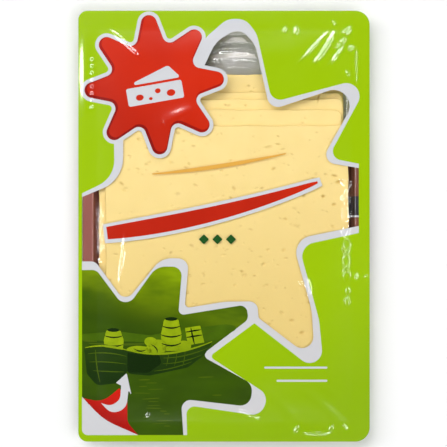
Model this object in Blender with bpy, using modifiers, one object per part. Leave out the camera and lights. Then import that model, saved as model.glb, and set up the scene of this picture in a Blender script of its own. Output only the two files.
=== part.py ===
"""Sealed pack of sliced cheese, lying on its back with the printed film up.

A clear thermoformed tray carries a flange all round its mouth. Shingled cheese slices lie in the
tray, each one a step lower on the pack than the slice under it, and a film is sealed over the flange.

Frame: the origin is the middle of the underside, +X is the pack's right, +Y its top edge and +Z up.
Units are metres, and driving dimensions are written as millimetres times MM.
"""

import math

import bmesh
import bpy
from mathutils import Matrix, Vector

MM = 0.001

# Pack outline
PACK_WIDTH = 142.0 * MM
PACK_LENGTH = 210.0 * MM
CORNER_RADIUS_LEFT = 4.5 * MM
CORNER_RADIUS_RIGHT = 7.0 * MM
CORNER_SEGMENTS = 8

# Tray
TRAY_WALL = 0.5 * MM
FLANGE_TOP = 10.9 * MM
FLANGE_WIDTH = 6.5 * MM
CAVITY_CORNER_RADIUS = 12.0 * MM
LEAST_CORNER_RADIUS = 6.0 * MM
WALL_DRAFT = 1.2 * MM
MOUTH_BEND_RADIUS = 1.0 * MM
FLOOR_BEND_RADIUS = 2.0 * MM
BEND_STEPS = 4

# Lid film
SEAL_GAP = 0.3 * MM
FILM_THICKNESS = 0.3 * MM
FILM_CROWN = 1.0 * MM
FILM_CROWN_RINGS = 4

# Cheese slices
SLICE_WIDTH = 118.5 * MM
SLICE_LENGTH = 140.0 * MM
SLICE_THICKNESS = 1.65 * MM
SLICE_CORNER_RADIUS = 3.0 * MM
SLICE_EDGE_BEVEL = 0.3 * MM
SLICE_GAP = 0.3 * MM
# Of each slice from the bottom up: its top edge's place on the pack, its sideways shift and its turn
SLICE_PLACES = (
    (73.5 * MM, -0.4 * MM, 0.10),
    (64.8 * MM, -1.5 * MM, -0.25),
    (61.0 * MM, -0.6 * MM, 0.20),
    (56.3 * MM, -1.8 * MM, -0.15),
    (48.9 * MM, 1.6 * MM, 0.30),
)

# Principled colours (linear), roughness and alpha
TRAY_FINISH = ((0.90, 0.92, 0.92), 0.12, 0.35)
FILM_FINISH = ((0.35, 0.57, 0.004), 0.28, 1.0)
CHEESE_FINISH = ((0.90, 0.70, 0.26), 0.50, 1.0)


def clear_scene():
    """Removes every object, so that the scene holds only the pack."""
    for obj in list(bpy.data.objects):
        bpy.data.objects.remove(obj, do_unlink=True)


def make_collection(name):
    """Returns a new collection linked to the scene."""
    collection = bpy.data.collections.new(name)
    bpy.context.scene.collection.children.link(collection)
    return collection


def make_material(name, finish):
    """Returns a Principled material of the given colour, roughness and alpha."""
    colour, roughness, alpha = finish
    material = bpy.data.materials.new(name)
    material.use_nodes = True
    shader = material.node_tree.nodes["Principled BSDF"]
    shader.inputs["Base Color"].default_value = (*colour, 1.0)
    shader.inputs["Roughness"].default_value = roughness
    shader.inputs["Metallic"].default_value = 0.0
    shader.inputs["Alpha"].default_value = alpha
    return material


def make_object(bm, name, collection, material):
    """Turns a bmesh into a linked object with one material."""
    mesh = bpy.data.meshes.new(name)
    bm.to_mesh(mesh)
    bm.free()
    mesh.materials.append(material)
    obj = bpy.data.objects.new(name, mesh)
    collection.objects.link(obj)
    return obj


def rounded_plate(bm, width, length, radius_left, radius_right, height):
    """Adds one flat rectangle with rounded corners, centred on the origin, and returns its face."""
    corners = bmesh.ops.create_grid(bm, x_segments=1, y_segments=1, size=0.5)["verts"]
    bmesh.ops.scale(bm, vec=(width, length, 1.0), verts=corners)
    bmesh.ops.translate(bm, vec=(0.0, 0.0, height), verts=corners)
    face = corners[0].link_faces[0]
    for radius, side in ((radius_left, -1), (radius_right, 1)):
        ends = [v for v in face.verts if v.co.x * side > 0.499 * width and abs(v.co.y) > 0.499 * length]
        rounded = bmesh.ops.bevel(
            bm,
            geom=ends,
            offset=radius,
            offset_type="OFFSET",
            segments=CORNER_SEGMENTS,
            profile=0.5,
            affect="VERTICES",
            material=-1,
        )
        # A beveled corner of a lone face replaces that face
        face = rounded["verts"][0].link_faces[0]
    return face


def loft(bm, rings):
    """Joins rings of (width, length, left radius, right radius, height), outermost first.

    The last ring keeps its face, which closes the middle.
    """
    outer = None
    for number, ring in enumerate(rings):
        face = rounded_plate(bm, *ring)
        edges = list(face.edges)
        if number < len(rings) - 1:
            bmesh.ops.delete(bm, geom=[face], context="FACES_ONLY")
        if outer is not None:
            bmesh.ops.bridge_loops(bm, edges=outer + edges)
        outer = edges
    bmesh.ops.recalc_face_normals(bm, faces=bm.faces)
    middle = min(bm.faces, key=lambda f: f.calc_center_median().length)
    if middle.normal.z < 0.0:
        bmesh.ops.reverse_faces(bm, faces=bm.faces)


def add_thickness(obj, thickness):
    """Gives an open surface a wall that grows away from its upper side."""
    solidify = obj.modifiers.new("Wall", "SOLIDIFY")
    solidify.thickness = thickness
    solidify.offset = -1.0
    solidify.use_even_offset = True


def shade_by_angle(obj, degrees):
    """Shades an object smooth, except across edges sharper than the angle."""
    obj.data.shade_smooth()
    obj.data.set_sharp_from_angle(angle=math.radians(degrees))


def cavity_ring(inset, height):
    """Returns the ring of the cavity that lies this far inside its mouth, at this height."""
    radius = max(CAVITY_CORNER_RADIUS - 0.5 * inset, LEAST_CORNER_RADIUS)
    width = PACK_WIDTH - 2.0 * (FLANGE_WIDTH + inset)
    length = PACK_LENGTH - 2.0 * (FLANGE_WIDTH + inset)
    return (width, length, radius, radius, height)


def make_tray(collection, material):
    """Builds the clear tray: flange, rounded mouth, drafted wall and flat floor."""
    floor_height = TRAY_WALL
    wall_inset = MOUTH_BEND_RADIUS + WALL_DRAFT
    rings = [(PACK_WIDTH, PACK_LENGTH, CORNER_RADIUS_LEFT, CORNER_RADIUS_RIGHT, FLANGE_TOP)]
    for step in range(BEND_STEPS + 1):
        turn = 0.5 * math.pi * step / BEND_STEPS
        drop = MOUTH_BEND_RADIUS * (1.0 - math.cos(turn))
        rings.append(cavity_ring(MOUTH_BEND_RADIUS * math.sin(turn), FLANGE_TOP - drop))
    for step in range(BEND_STEPS + 1):
        turn = 0.5 * math.pi * step / BEND_STEPS
        inset = wall_inset + FLOOR_BEND_RADIUS * (1.0 - math.cos(turn))
        rings.append(cavity_ring(inset, floor_height + FLOOR_BEND_RADIUS * (1.0 - math.sin(turn))))
    bm = bmesh.new()
    loft(bm, rings)
    tray = make_object(bm, "tray", collection, material)
    add_thickness(tray, TRAY_WALL)
    shade_by_angle(tray, 50.0)
    return tray


def make_lid_film(collection, material):
    """Builds the film: flat over the flange and gently crowned over the slices."""
    seal_height = FLANGE_TOP + SEAL_GAP + FILM_THICKNESS
    rings = [(PACK_WIDTH, PACK_LENGTH, CORNER_RADIUS_LEFT, CORNER_RADIUS_RIGHT, seal_height)]
    crown_reach = 0.5 * PACK_WIDTH - FLANGE_WIDTH - CAVITY_CORNER_RADIUS
    for step in range(FILM_CROWN_RINGS + 1):
        share = step / FILM_CROWN_RINGS
        rise = FILM_CROWN * math.sin(0.5 * math.pi * share) ** 2
        rings.append(cavity_ring(crown_reach * 0.5 * share, seal_height + rise))
    bm = bmesh.new()
    loft(bm, rings)
    film = make_object(bm, "lid_film", collection, material)
    add_thickness(film, FILM_THICKNESS)
    shade_by_angle(film, 50.0)
    return film


def make_slice(number, place, collection, material):
    """Builds one slice, counted from the bottom of the stack, and lays it in its step."""
    top_edge, shift, degrees = place
    bm = bmesh.new()
    face = rounded_plate(bm, SLICE_WIDTH, SLICE_LENGTH, SLICE_CORNER_RADIUS, SLICE_CORNER_RADIUS, 0.0)
    raised = bmesh.ops.extrude_face_region(bm, geom=[face])["geom"]
    upper = [item for item in raised if isinstance(item, bmesh.types.BMVert)]
    bmesh.ops.translate(bm, vec=(0.0, 0.0, SLICE_THICKNESS), verts=upper)
    bmesh.ops.recalc_face_normals(bm, faces=bm.faces)
    rims = [e for e in bm.edges if abs(e.verts[0].co.z - e.verts[1].co.z) < 0.5 * SLICE_THICKNESS]
    bmesh.ops.bevel(
        bm,
        geom=rims,
        offset=SLICE_EDGE_BEVEL,
        offset_type="OFFSET",
        segments=2,
        profile=0.5,
        affect="EDGES",
        material=-1,
    )
    cheese = make_object(bm, f"cheese_slice_{number}", collection, material)
    height = TRAY_WALL + SLICE_GAP + (number - 1) * (SLICE_THICKNESS + SLICE_GAP)
    cheese.location = Vector((shift, top_edge - 0.5 * SLICE_LENGTH, height))
    cheese.rotation_euler = Matrix.Rotation(math.radians(degrees), 3, "Z").to_euler()
    shade_by_angle(cheese, 50.0)
    return cheese


def main():
    """Builds the whole pack."""
    clear_scene()
    collection = make_collection("cheese_pack")
    make_tray(collection, make_material("clear_tray", TRAY_FINISH))
    make_lid_film(collection, make_material("printed_film", FILM_FINISH))
    cheese = make_material("cheese", CHEESE_FINISH)
    for number, place in enumerate(SLICE_PLACES, start=1):
        make_slice(number, place, collection, cheese)


main()
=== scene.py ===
"""Looks of a sealed pack of sliced cheese: clear tray, shingled slices and a printed film lid.

The pack lies with its print up. Lengths in the layout are millimetres on the pack, measured from its
middle, and are turned to metres by MM where a mesh is made.
"""

import logging
import math
import random
from dataclasses import dataclass, field
from enum import Enum
from functools import cached_property
from typing import Callable, Iterable, Optional, Sequence

import bmesh
import bpy
import numpy as np
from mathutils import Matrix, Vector


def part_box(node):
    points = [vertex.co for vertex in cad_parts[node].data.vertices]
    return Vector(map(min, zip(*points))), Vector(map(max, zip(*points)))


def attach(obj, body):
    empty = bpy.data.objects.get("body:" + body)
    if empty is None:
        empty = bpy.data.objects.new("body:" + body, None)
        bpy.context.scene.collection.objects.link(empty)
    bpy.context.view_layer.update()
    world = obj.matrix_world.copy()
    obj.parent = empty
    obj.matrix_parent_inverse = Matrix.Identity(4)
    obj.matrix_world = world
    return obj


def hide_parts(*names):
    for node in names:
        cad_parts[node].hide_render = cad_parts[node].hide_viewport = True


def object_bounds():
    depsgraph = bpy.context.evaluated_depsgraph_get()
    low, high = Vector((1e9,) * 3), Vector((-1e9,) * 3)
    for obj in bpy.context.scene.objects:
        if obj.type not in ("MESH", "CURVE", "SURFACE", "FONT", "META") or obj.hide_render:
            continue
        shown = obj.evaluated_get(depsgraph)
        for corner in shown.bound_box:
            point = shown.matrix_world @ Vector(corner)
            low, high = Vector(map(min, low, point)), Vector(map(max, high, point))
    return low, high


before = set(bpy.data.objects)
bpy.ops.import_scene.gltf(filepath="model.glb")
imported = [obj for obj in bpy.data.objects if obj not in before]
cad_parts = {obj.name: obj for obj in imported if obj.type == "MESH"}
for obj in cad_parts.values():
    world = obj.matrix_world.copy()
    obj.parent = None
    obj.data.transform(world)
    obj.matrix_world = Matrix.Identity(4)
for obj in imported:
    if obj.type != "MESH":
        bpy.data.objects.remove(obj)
CAD_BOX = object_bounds()

LOG = logging.getLogger("cheese_pack")
MM = 0.001
BODY = "root"

Point = tuple[float, float]
Corner = tuple[float, float, float]
Loop = list[Point]
Patch = list[Loop]


# ---------------------------------------------------------------- colours and finishes


@dataclass(frozen=True)
class Swatch:
    """A colour as 8-bit sRGB values."""

    red: int
    green: int
    blue: int

    def linear(self) -> tuple[float, float, float, float]:
        """Returns the colour as linear RGBA."""
        return (*(self._channel(value / 255.0) for value in (self.red, self.green, self.blue)), 1.0)

    @staticmethod
    def _channel(value: float) -> float:
        """Turns one sRGB channel to linear.

        Args:
            value: the channel, from 0 to 1.

        Returns:
            The linear value.
        """
        if value <= 0.04045:
            return value / 12.92
        return ((value + 0.055) / 1.055) ** 2.4


class Slot(Enum):
    """Material slots of the record."""

    TRAY = "clear_tray"
    FILM = "printed_film"
    CHEESE = "cheese"


def wire(tree: bpy.types.NodeTree, *pairs: tuple[bpy.types.NodeSocket, bpy.types.NodeSocket]) -> None:
    """Links pairs of an output and an input in a node tree."""
    for output, target in pairs:
        tree.links.new(output, target)


class NodeGroups:
    """Shader groups that several materials share, each built at its first use."""

    @staticmethod
    def _new(name: str, inputs: Sequence[tuple], outputs: Sequence[tuple]) -> bpy.types.NodeTree:
        """Makes an empty group with its sockets.

        Args:
            name: the group's name.
            inputs: (name, socket type, default) of each input.
            outputs: (name, socket type) of each output.

        Returns:
            The group's node tree, with its input and output nodes.
        """
        tree = bpy.data.node_groups.new(name, "ShaderNodeTree")
        for label, kind, default in inputs:
            socket = tree.interface.new_socket(name=label, in_out="INPUT", socket_type=kind)
            socket.default_value = default
        for label, kind in outputs:
            tree.interface.new_socket(name=label, in_out="OUTPUT", socket_type=kind)
        tree.nodes.new("NodeGroupInput")
        tree.nodes.new("NodeGroupOutput")
        return tree

    def _two_tones(self, name: str, inputs: Sequence[tuple]) -> bpy.types.NodeTree:
        """Makes a group that mixes two colours by a value between two limits.

        Args:
            name: the group's name.
            inputs: (name, socket type, default) of its inputs after the two colours.

        Returns:
            The group's node tree, whose Map Range node still wants its value and limits.
        """
        colours = [
            ("Colour A", "NodeSocketColor", (1.0, 1.0, 1.0, 1.0)),
            ("Colour B", "NodeSocketColor", (0.0, 0.0, 0.0, 1.0)),
        ]
        tree = self._new(name, [*colours, *inputs], [("Colour", "NodeSocketColor")])
        given, out = tree.nodes["Group Input"], tree.nodes["Group Output"]
        spread = tree.nodes.new("ShaderNodeMapRange")
        mix = tree.nodes.new("ShaderNodeMix")
        mix.data_type = "RGBA"
        wire(
            tree,
            (spread.outputs["Result"], mix.inputs["Factor"]),
            (given.outputs["Colour A"], mix.inputs["A"]),
            (given.outputs["Colour B"], mix.inputs["B"]),
            (mix.outputs["Result"], out.inputs["Colour"]),
        )
        return tree

    @cached_property
    def mottle(self) -> bpy.types.NodeTree:
        """Mixes two colours by a soft noise over Object coordinates.

        Returns:
            The group's node tree.
        """
        tree = self._two_tones(
            "Mottle",
            [
                ("Scale", "NodeSocketFloat", 60.0),
                ("Softness", "NodeSocketFloat", 0.2),
                ("Stretch", "NodeSocketVector", (1.0, 1.0, 1.0)),
            ],
        )
        nodes = tree.nodes
        given, spread = nodes["Group Input"], nodes["Map Range"]
        place = nodes.new("ShaderNodeTexCoord")
        stretch = nodes.new("ShaderNodeVectorMath")
        stretch.operation = "MULTIPLY"
        noise = nodes.new("ShaderNodeTexNoise")
        noise.inputs["Detail"].default_value = 3.0
        low, high = nodes.new("ShaderNodeMath"), nodes.new("ShaderNodeMath")
        low.operation = "SUBTRACT"
        for limit in (low, high):
            limit.inputs[0].default_value = 0.5
        wire(
            tree,
            (place.outputs["Object"], stretch.inputs[0]),
            (given.outputs["Stretch"], stretch.inputs[1]),
            (stretch.outputs["Vector"], noise.inputs["Vector"]),
            (given.outputs["Scale"], noise.inputs["Scale"]),
            (given.outputs["Softness"], low.inputs[1]),
            (given.outputs["Softness"], high.inputs[1]),
            (noise.outputs["Fac"], spread.inputs["Value"]),
            (low.outputs[0], spread.inputs["From Min"]),
            (high.outputs[0], spread.inputs["From Max"]),
        )
        return tree

    @cached_property
    def fade(self) -> bpy.types.NodeTree:
        """Mixes two colours along a direction over Object coordinates.

        Returns:
            The group's node tree.
        """
        tree = self._two_tones(
            "Fade",
            [
                ("Direction", "NodeSocketVector", (0.0, 1.0, 0.0)),
                ("From", "NodeSocketFloat", -0.1),
                ("To", "NodeSocketFloat", 0.1),
            ],
        )
        nodes = tree.nodes
        given, spread = nodes["Group Input"], nodes["Map Range"]
        spread.interpolation_type = "SMOOTHSTEP"
        place = nodes.new("ShaderNodeTexCoord")
        along = nodes.new("ShaderNodeVectorMath")
        along.operation = "DOT_PRODUCT"
        wire(
            tree,
            (place.outputs["Object"], along.inputs[0]),
            (given.outputs["Direction"], along.inputs[1]),
            (along.outputs["Value"], spread.inputs["Value"]),
            (given.outputs["From"], spread.inputs["From Min"]),
            (given.outputs["To"], spread.inputs["From Max"]),
        )
        return tree

    @cached_property
    def handling(self) -> bpy.types.NodeTree:
        """Gives the uneven gloss and faint relief of handled film, as a roughness and a height.

        Returns:
            The group's node tree.
        """
        tree = self._new(
            "Handling",
            [
                ("Roughness", "NodeSocketFloat", 0.2),
                ("Swing", "NodeSocketFloat", 0.08),
                ("Scale", "NodeSocketFloat", 90.0),
            ],
            [("Roughness", "NodeSocketFloat"), ("Height", "NodeSocketFloat")],
        )
        nodes = tree.nodes
        given, out = nodes["Group Input"], nodes["Group Output"]
        place = nodes.new("ShaderNodeTexCoord")
        noise = nodes.new("ShaderNodeTexNoise")
        noise.inputs["Detail"].default_value = 4.0
        swing = nodes.new("ShaderNodeMath")
        swing.operation = "MULTIPLY_ADD"
        wire(
            tree,
            (place.outputs["Object"], noise.inputs["Vector"]),
            (given.outputs["Scale"], noise.inputs["Scale"]),
            (noise.outputs["Fac"], swing.inputs[0]),
            (given.outputs["Swing"], swing.inputs[1]),
            (given.outputs["Roughness"], swing.inputs[2]),
            (swing.outputs[0], out.inputs["Roughness"]),
            (noise.outputs["Fac"], out.inputs["Height"]),
        )
        return tree


GROUPS = NodeGroups()


class MaterialSheet:
    """A new material with a Principled shader, and short ways to add nodes to it."""

    def __init__(self, name: str) -> None:
        """Makes the material.

        Args:
            name: the material's name.
        """
        self.material = bpy.data.materials.new(name)
        self.material.use_nodes = True
        self.tree = self.material.node_tree
        self.shader = self.tree.nodes["Principled BSDF"]

    def group(self, tree: bpy.types.NodeTree, **values: object) -> bpy.types.Node:
        """Places a shared group.

        Args:
            tree: the group.
            values: its inputs, with spaces in their names written as underscores.

        Returns:
            The group node.
        """
        node = self.tree.nodes.new("ShaderNodeGroup")
        node.node_tree = tree
        for label, value in values.items():
            node.inputs[label.replace("_", " ")].default_value = value
        return node

    def link(self, output: bpy.types.NodeSocket, target: bpy.types.NodeSocket) -> None:
        """Joins two sockets."""
        self.tree.links.new(output, target)

    def bump(self, height: bpy.types.NodeSocket, distance: float, strength: float) -> None:
        """Adds a bump from a height.

        Args:
            height: the height socket.
            distance: the bump's depth in metres.
            strength: from 0 to 1.
        """
        node = self.tree.nodes.new("ShaderNodeBump")
        node.inputs["Distance"].default_value = distance
        node.inputs["Strength"].default_value = strength
        self.link(height, node.inputs["Height"])
        self.link(node.outputs["Normal"], self.shader.inputs["Normal"])

    def set(self, **values: object) -> None:
        """Sets the shader's own sockets, with spaces in their names written as underscores."""
        for label, value in values.items():
            self.shader.inputs[label.replace("_", " ")].default_value = value


@dataclass(frozen=True)
class InkFinish:
    """Glossy film printed with one ink, mixed towards a second tone along a direction across the pack; for
    the lime ink that second tone is painted shade.
    """

    name: str
    tone: Swatch
    far_tone: Swatch
    direction: tuple[float, float, float] = (0.6, -0.8, 0.0)
    start: float = -0.02
    end: float = 0.12
    mottle: Optional[Swatch] = None
    mottle_scale: float = 60.0
    mottle_softness: float = 0.3
    mottle_stretch: tuple[float, float, float] = (1.0, 1.0, 1.0)
    roughness: float = 0.08

    def material(self) -> bpy.types.Material:
        """Builds the ink's material.

        Returns:
            The material.
        """
        sheet = MaterialSheet(self.name)
        fade = sheet.group(
            GROUPS.fade,
            Colour_A=self.tone.linear(),
            Colour_B=self.far_tone.linear(),
            Direction=self.direction,
            From=self.start,
            To=self.end,
        )
        colour = fade.outputs["Colour"]
        if self.mottle is not None:
            patches = sheet.group(
                GROUPS.mottle,
                Colour_B=self.mottle.linear(),
                Scale=self.mottle_scale,
                Softness=self.mottle_softness,
                Stretch=self.mottle_stretch,
            )
            sheet.link(colour, patches.inputs["Colour A"])
            colour = patches.outputs["Colour"]
        sheet.link(colour, sheet.shader.inputs["Base Color"])
        gloss = sheet.group(GROUPS.handling, Roughness=self.roughness, Swing=0.06, Scale=70.0)
        sheet.link(gloss.outputs["Roughness"], sheet.shader.inputs["Roughness"])
        sheet.bump(gloss.outputs["Height"], 0.00005, 0.2)
        sheet.set(IOR=1.5)
        return sheet.material


@dataclass(frozen=True)
class ClearFinish:
    """Clear plastic: thin see-through sheet with a sharp surface gloss."""

    name: str
    tint: Swatch = Swatch(253, 253, 252)
    ior: float = 1.08
    roughness: float = 0.02
    # Optional darker left end, mixed in along X: painted shade of the tray's corner.
    left_painted_shade: Optional[Swatch] = None

    def material(self) -> bpy.types.Material:
        """Builds the clear material.

        Returns:
            The material.
        """
        sheet = MaterialSheet(self.name)
        sheet.set(
            Base_Color=self.tint.linear(),
            Roughness=self.roughness,
            IOR=self.ior,
            Transmission_Weight=1.0,
            Coat_Weight=1.0,
            Coat_IOR=1.5,
            Coat_Roughness=0.05,
        )
        # Darkens the left end: painted shade.
        if self.left_painted_shade is not None:
            fade = sheet.group(
                GROUPS.fade,
                Colour_A=self.left_painted_shade.linear(),
                Colour_B=self.tint.linear(),
                Direction=(1.0, -0.4, 0.0),
                From=-0.043,
                To=-0.03,
            )
            sheet.link(fade.outputs["Colour"], sheet.shader.inputs["Base Color"])
        gloss = sheet.group(GROUPS.handling, Roughness=self.roughness, Swing=0.05, Scale=50.0)
        sheet.bump(gloss.outputs["Height"], 0.00005, 0.2)
        return sheet.material


@dataclass(frozen=True)
class CheeseFinish:
    """Moist, pale yellow cheese with faint patches; its eyes are darkened by painted shade in the hollows,
    and some by brownish specks.
    """

    name: str = "cheese_flesh"
    top_tone: Swatch = Swatch(242, 215, 140)
    low_tone: Swatch = Swatch(217, 189, 109)
    patch_tone: Swatch = Swatch(228, 200, 120)
    # Colour that the eyes darken towards: painted shade in the hollows, and brownish specks in some.
    eye_tone: Swatch = Swatch(182, 142, 58)
    eye_attribute: str = "eye"

    def material(self) -> bpy.types.Material:
        """Builds the cheese's material.

        Returns:
            The material.
        """
        sheet = MaterialSheet(self.name)
        nodes = sheet.tree.nodes
        fade = sheet.group(
            GROUPS.fade,
            Colour_A=self.low_tone.linear(),
            Colour_B=self.top_tone.linear(),
            Direction=(-0.1, 1.0, 0.0),
            From=-0.06,
            To=0.05,
        )
        patches = sheet.group(
            GROUPS.mottle, Colour_B=self.patch_tone.linear(), Scale=85.0, Softness=0.3
        )
        patch_share = nodes.new("ShaderNodeMix")
        patch_share.data_type = "RGBA"
        patch_share.inputs["Factor"].default_value = 0.5
        # The eye mask darkens the colour: painted shade in the hollows, partly brownish specks.
        eye = nodes.new("ShaderNodeAttribute")
        eye.attribute_name = self.eye_attribute
        eye_mix = nodes.new("ShaderNodeMix")
        eye_mix.data_type = "RGBA"
        eye_mix.inputs["B"].default_value = self.eye_tone.linear()
        sheet.link(fade.outputs["Colour"], patches.inputs["Colour A"])
        sheet.link(fade.outputs["Colour"], patch_share.inputs["A"])
        sheet.link(patches.outputs["Colour"], patch_share.inputs["B"])
        sheet.link(patch_share.outputs["Result"], eye_mix.inputs["A"])
        sheet.link(eye.outputs["Fac"], eye_mix.inputs["Factor"])
        sheet.link(eye_mix.outputs["Result"], sheet.shader.inputs["Base Color"])
        gloss = sheet.group(GROUPS.handling, Roughness=0.42, Swing=0.16, Scale=160.0)
        sheet.link(gloss.outputs["Roughness"], sheet.shader.inputs["Roughness"])
        sheet.bump(gloss.outputs["Height"], 0.0001, 0.25)
        sheet.set(
            Subsurface_Weight=0.12,
            Subsurface_Scale=0.002,
            Subsurface_Radius=(1.0, 0.7, 0.3),
            Specular_IOR_Level=0.3,
            IOR=1.42,
        )
        return sheet.material


@dataclass(frozen=True)
class FloorFinish:
    """Plain pale studio floor."""

    name: str = "pale_floor"
    tone: Swatch = Swatch(248, 248, 248)

    def material(self) -> bpy.types.Material:
        """Builds the floor's material.

        Returns:
            The material.
        """
        sheet = MaterialSheet(self.name)
        sheet.set(Base_Color=self.tone.linear(), Roughness=0.9, Specular_IOR_Level=0.1)
        return sheet.material


class Ink(Enum):
    """The inks of the print and of the back of the tray."""

    # The lime darkens towards the lower right: its far tone is painted shade, away from the key lamp on the
    # upper left.
    LIME = InkFinish("lime_ink", Swatch(155, 193, 0), Swatch(140, 178, 0), (0.35, -0.9, 0.0), 0.03, 0.11)
    PALE = InkFinish("pale_ink", Swatch(207, 208, 212), Swatch(203, 202, 204))
    PICTURE = InkFinish(
        "picture_ink",
        Swatch(144, 172, 4),
        Swatch(46, 70, 2),
        direction=(-0.25, -1.0, 0.0),
        start=0.028,
        end=0.062,
        mottle=Swatch(58, 88, 2),
        mottle_scale=55.0,
        mottle_softness=0.22,
        mottle_stretch=(0.6, 1.6, 1.0),
    )
    SHORE = InkFinish(
        "shore_ink", Swatch(62, 92, 4), Swatch(54, 82, 4), mottle=Swatch(74, 106, 4), mottle_scale=140.0
    )
    HULL = InkFinish(
        "hull_ink",
        Swatch(44, 70, 6),
        Swatch(24, 48, 6),
        direction=(0.0, -1.0, 0.0),
        start=0.058,
        end=0.074,
        mottle=Swatch(26, 52, 8),
        mottle_scale=160.0,
        mottle_stretch=(0.3, 2.0, 1.0),
    )
    HOLD = InkFinish("hold_ink", Swatch(18, 42, 4), Swatch(14, 34, 2))
    PLANK = InkFinish("plank_ink", Swatch(74, 98, 10), Swatch(50, 76, 6))
    CARGO = InkFinish(
        "cargo_ink",
        Swatch(158, 180, 14),
        Swatch(112, 138, 8),
        direction=(0.2, -1.0, 0.0),
        start=0.046,
        end=0.064,
        mottle=Swatch(128, 152, 8),
        mottle_scale=190.0,
    )
    RIPPLE = InkFinish("ripple_ink", Swatch(82, 106, 8), Swatch(70, 94, 6))
    RED = InkFinish(
        "red_ink",
        Swatch(212, 44, 12),
        Swatch(178, 34, 16),
        direction=(-0.5, -0.85, 0.0),
        start=-0.052,
        end=-0.016,
        mottle=Swatch(200, 40, 14),
        mottle_scale=30.0,
    )
    TAB_RED = InkFinish(
        "tab_red_ink", Swatch(206, 30, 16), Swatch(158, 18, 12), (-0.4, -0.9, 0.0), 0.092, 0.112
    )
    RED_SHADE = InkFinish(
        "red_shade_ink", Swatch(168, 26, 14), Swatch(136, 20, 14), (-0.5, -0.85, 0.0), -0.052, -0.016
    )
    GOLD = InkFinish("gold_ink", Swatch(226, 170, 74), Swatch(214, 150, 60))
    LEAF = InkFinish("leaf_ink", Swatch(34, 84, 34), Swatch(28, 72, 30))
    MAROON = InkFinish(
        "maroon_ink",
        Swatch(150, 92, 84),
        Swatch(122, 76, 62),
        direction=(1.0, 0.0, 0.0),
        start=-0.05,
        end=0.05,
    )
    NIGHT = InkFinish("night_ink", Swatch(56, 50, 56), Swatch(62, 60, 62))


class MaterialShelf:
    """Builds each finish's material once and hands it out."""

    def __init__(self) -> None:
        """Starts empty."""
        self._made: dict[str, bpy.types.Material] = {}

    def get(self, finish: object) -> bpy.types.Material:
        """Returns the material of a finish or of an ink.

        Args:
            finish: an Ink, or a finish with a name and a material method.

        Returns:
            The material.
        """
        finish = finish.value if isinstance(finish, Ink) else finish
        if finish.name not in self._made:
            self._made[finish.name] = finish.material()
        return self._made[finish.name]


SHELF = MaterialShelf()


# ---------------------------------------------------------------- outlines


def rounded_path(corners: Sequence[Corner], closed: bool = False, turn_step: float = 9.0) -> Loop:
    """Turns corners with fillet radii into a path with true arcs.

    Args:
        corners: (x, y, radius) of each corner, in millimetres.
        closed: whether the last corner joins the first.
        turn_step: the most degrees between two points of an arc.

    Returns:
        The path's points.
    """
    points: Loop = []
    count = len(corners)
    for number, (x, y, radius) in enumerate(corners):
        at_end = not closed and number in (0, count - 1)
        if at_end or radius <= 0.0:
            points.append((x, y))
            continue
        here = Vector((x, y))
        back = Vector(corners[number - 1][:2]) - here
        ahead = Vector(corners[(number + 1) % count][:2]) - here
        inner = back.angle(ahead)
        reach = min(radius / math.tan(0.5 * inner), 0.49 * back.length, 0.49 * ahead.length)
        radius = reach * math.tan(0.5 * inner)
        halfway = (back.normalized() + ahead.normalized()).normalized()
        middle = here + halfway * (radius / math.sin(0.5 * inner))
        first = here + back.normalized() * reach - middle
        sweep = first.angle_signed(here + ahead.normalized() * reach - middle)
        steps = max(3, math.ceil(abs(math.degrees(sweep)) / turn_step))
        for step in range(steps + 1):
            turn = -sweep * step / steps
            arm = Vector((
                first.x * math.cos(turn) - first.y * math.sin(turn),
                first.x * math.sin(turn) + first.y * math.cos(turn),
            ))
            points.append(tuple(middle + arm))
    return points


def rounded_box(left: float, bottom: float, right: float, top: float, radius: float) -> Loop:
    """Returns a rectangle with rounded corners, from its four sides and its corner radius."""
    corners = ((left, bottom), (right, bottom), (right, top), (left, top))
    return rounded_path([(*corner, radius) for corner in corners], closed=True)


def grown_loop(loop: Sequence[Point], distance: float) -> Loop:
    """Moves a loop outwards by one distance all round.

    Args:
        loop: the loop, anticlockwise.
        distance: how far it moves.

    Returns:
        The new loop.
    """
    grown = []
    for number, here in enumerate(loop):
        along = Vector(loop[(number + 1) % len(loop)]) - Vector(loop[number - 1])
        side = Vector((along.y, -along.x)).normalized() * distance
        grown.append(tuple(Vector(here) + side))
    return grown


def turned(x: float, y: float, degrees: float, middle: Point) -> Point:
    """Turns a place about the origin, then measures it from another middle.

    Args:
        x: the place along X.
        y: the place along Y.
        degrees: how far it is turned.
        middle: where the origin goes.

    Returns:
        The new place.
    """
    turn = math.radians(degrees)
    return (
        middle[0] + x * math.cos(turn) - y * math.sin(turn),
        middle[1] + x * math.sin(turn) + y * math.cos(turn),
    )


def oval_loop(middle: Point, width: float, height: float, degrees: float = 0.0, steps: int = 28) -> Loop:
    """Returns an ellipse.

    Args:
        middle: its middle.
        width: its whole width before it is turned.
        height: its whole height.
        degrees: how far it is turned.
        steps: how many points.

    Returns:
        The loop's points.
    """
    turns = [2.0 * math.pi * step / steps for step in range(steps)]
    return [
        turned(0.5 * width * math.cos(turn), 0.5 * height * math.sin(turn), degrees, middle) for turn in turns
    ]


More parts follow.
